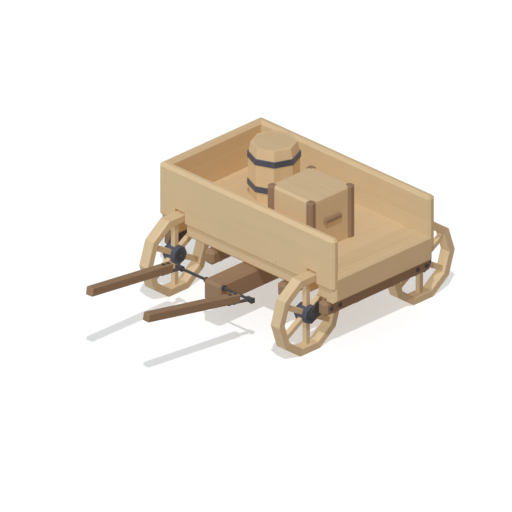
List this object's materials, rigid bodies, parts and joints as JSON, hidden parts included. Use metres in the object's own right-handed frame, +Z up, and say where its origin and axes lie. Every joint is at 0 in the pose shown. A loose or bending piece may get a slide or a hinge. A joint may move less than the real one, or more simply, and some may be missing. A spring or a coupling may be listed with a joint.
{
  "type": "mine cart",
  "caption": "Timber mine cart: a thick-walled tray open at one end on spoked wheels, with hinged draught shafts, carrying a hooped keg and a corner-posted crate.",
  "frame": {"origin": "on the ground, under the middle of the whole cart's box", "axes": "+Z up; the cart travels along Y with its draught shafts towards -Y; the tray's open end faces +X"},
  "size_m": [1.484, 2.274, 0.8823],
  "materials": {
    "light_wood": "sawn, bevelled edges",
    "peg_wood": "end grain",
    "wheel_wood": "planed",
    "brown_wood": "stained, bevelled",
    "dark_iron": "forged",
    "blue_iron": "satin blue-grey",
    "bearing_brass": "plain bearing"
  },
  "bodies": {
    "cart": {"deck_boards": "light_wood", "deck_pegs": "peg_wood", "front_sill": "light_wood", "rear_sill": "light_wood", "head_sill": "light_wood", "tail_sill": "light_wood", "cross_bearers": "light_wood", "front_wall": "light_wood", "rear_wall": "light_wood", "end_wall": "light_wood", "wall_pegs": "peg_wood", "rail_outer_left": "brown_wood", "rail_inner_left": "brown_wood", "rail_inner_right": "brown_wood", "rail_outer_right": "brown_wood", "draw_beam": "brown_wood", "chassis_bolts": "dark_iron", "axle_plate_bolts": "dark_iron", "axle_washers": "dark_iron", "linch_pins": "dark_iron", "axle_plate_front_left": "dark_iron", "axle_plate_front_right": "dark_iron", "axle_plate_rear_left": "dark_iron", "axle_plate_rear_right": "dark_iron", "stub_axle_front_left": "dark_iron", "stub_axle_front_right": "dark_iron", "stub_axle_rear_left": "dark_iron", "stub_axle_rear_right": "dark_iron"},
    "wheel_front_left": {"wheel_front_left_felloes": "wheel_wood", "wheel_front_left_spokes": "wheel_wood", "wheel_front_left_hub": "blue_iron", "wheel_front_left_liner": "bearing_brass"},
    "wheel_front_right": {"wheel_front_right_felloes": "wheel_wood", "wheel_front_right_spokes": "wheel_wood", "wheel_front_right_hub": "blue_iron", "wheel_front_right_liner": "bearing_brass"},
    "wheel_rear_left": {"wheel_rear_left_felloes": "wheel_wood", "wheel_rear_left_spokes": "wheel_wood", "wheel_rear_left_hub": "blue_iron", "wheel_rear_left_liner": "bearing_brass"},
    "wheel_rear_right": {"wheel_rear_right_felloes": "wheel_wood", "wheel_rear_right_spokes": "wheel_wood", "wheel_rear_right_hub": "blue_iron", "wheel_rear_right_liner": "bearing_brass"},
    "shafts": {"crossbar": "dark_iron", "crossbar_nuts": "dark_iron", "crossbar_collars": "dark_iron", "shaft_bolts": "dark_iron", "shaft_left": "brown_wood", "shaft_right": "brown_wood", "shaft_straps": "dark_iron"},
    "keg": {"keg_staves": "light_wood", "keg_heads": "light_wood", "keg_hoops": "blue_iron"},
    "crate": {"crate_posts": "brown_wood", "crate_panels": "light_wood", "crate_lid": "light_wood", "crate_base": "light_wood", "crate_handles": "brown_wood", "crate_nails": "dark_iron"}
  },
  "joints": [
    {"name": "wheel_front_left_spin", "type": "hinge", "parent": "cart", "child": "wheel_front_left", "pos_m": [-0.558, -0.09003, 0.25393], "axis": [1, 0, 0], "continuous": true},
    {"name": "wheel_front_right_spin", "type": "hinge", "parent": "cart", "child": "wheel_front_right", "pos_m": [0.558, -0.09003, 0.25393], "axis": [1, 0, 0], "continuous": true},
    {"name": "wheel_rear_left_spin", "type": "hinge", "parent": "cart", "child": "wheel_rear_left", "pos_m": [-0.558, 0.86997, 0.25393], "axis": [1, 0, 0], "continuous": true},
    {"name": "wheel_rear_right_spin", "type": "hinge", "parent": "cart", "child": "wheel_rear_right", "pos_m": [0.558, 0.86997, 0.25393], "axis": [1, 0, 0], "continuous": true},
    {"name": "shafts_lift", "type": "hinge", "parent": "cart", "child": "shafts", "pos_m": [0, -0.30503, 0.32477], "axis": [-1, 0, 0], "range_deg": [-31, 103]},
    {"name": "keg_lift_out", "type": "slide", "parent": "cart", "child": "keg", "axis": [0, 0, 1], "range_m": [0, 0.36]},
    {"name": "crate_lift_out", "type": "slide", "parent": "cart", "child": "crate", "axis": [0, 0, 1], "range_m": [0, 0.36]}
  ]
}
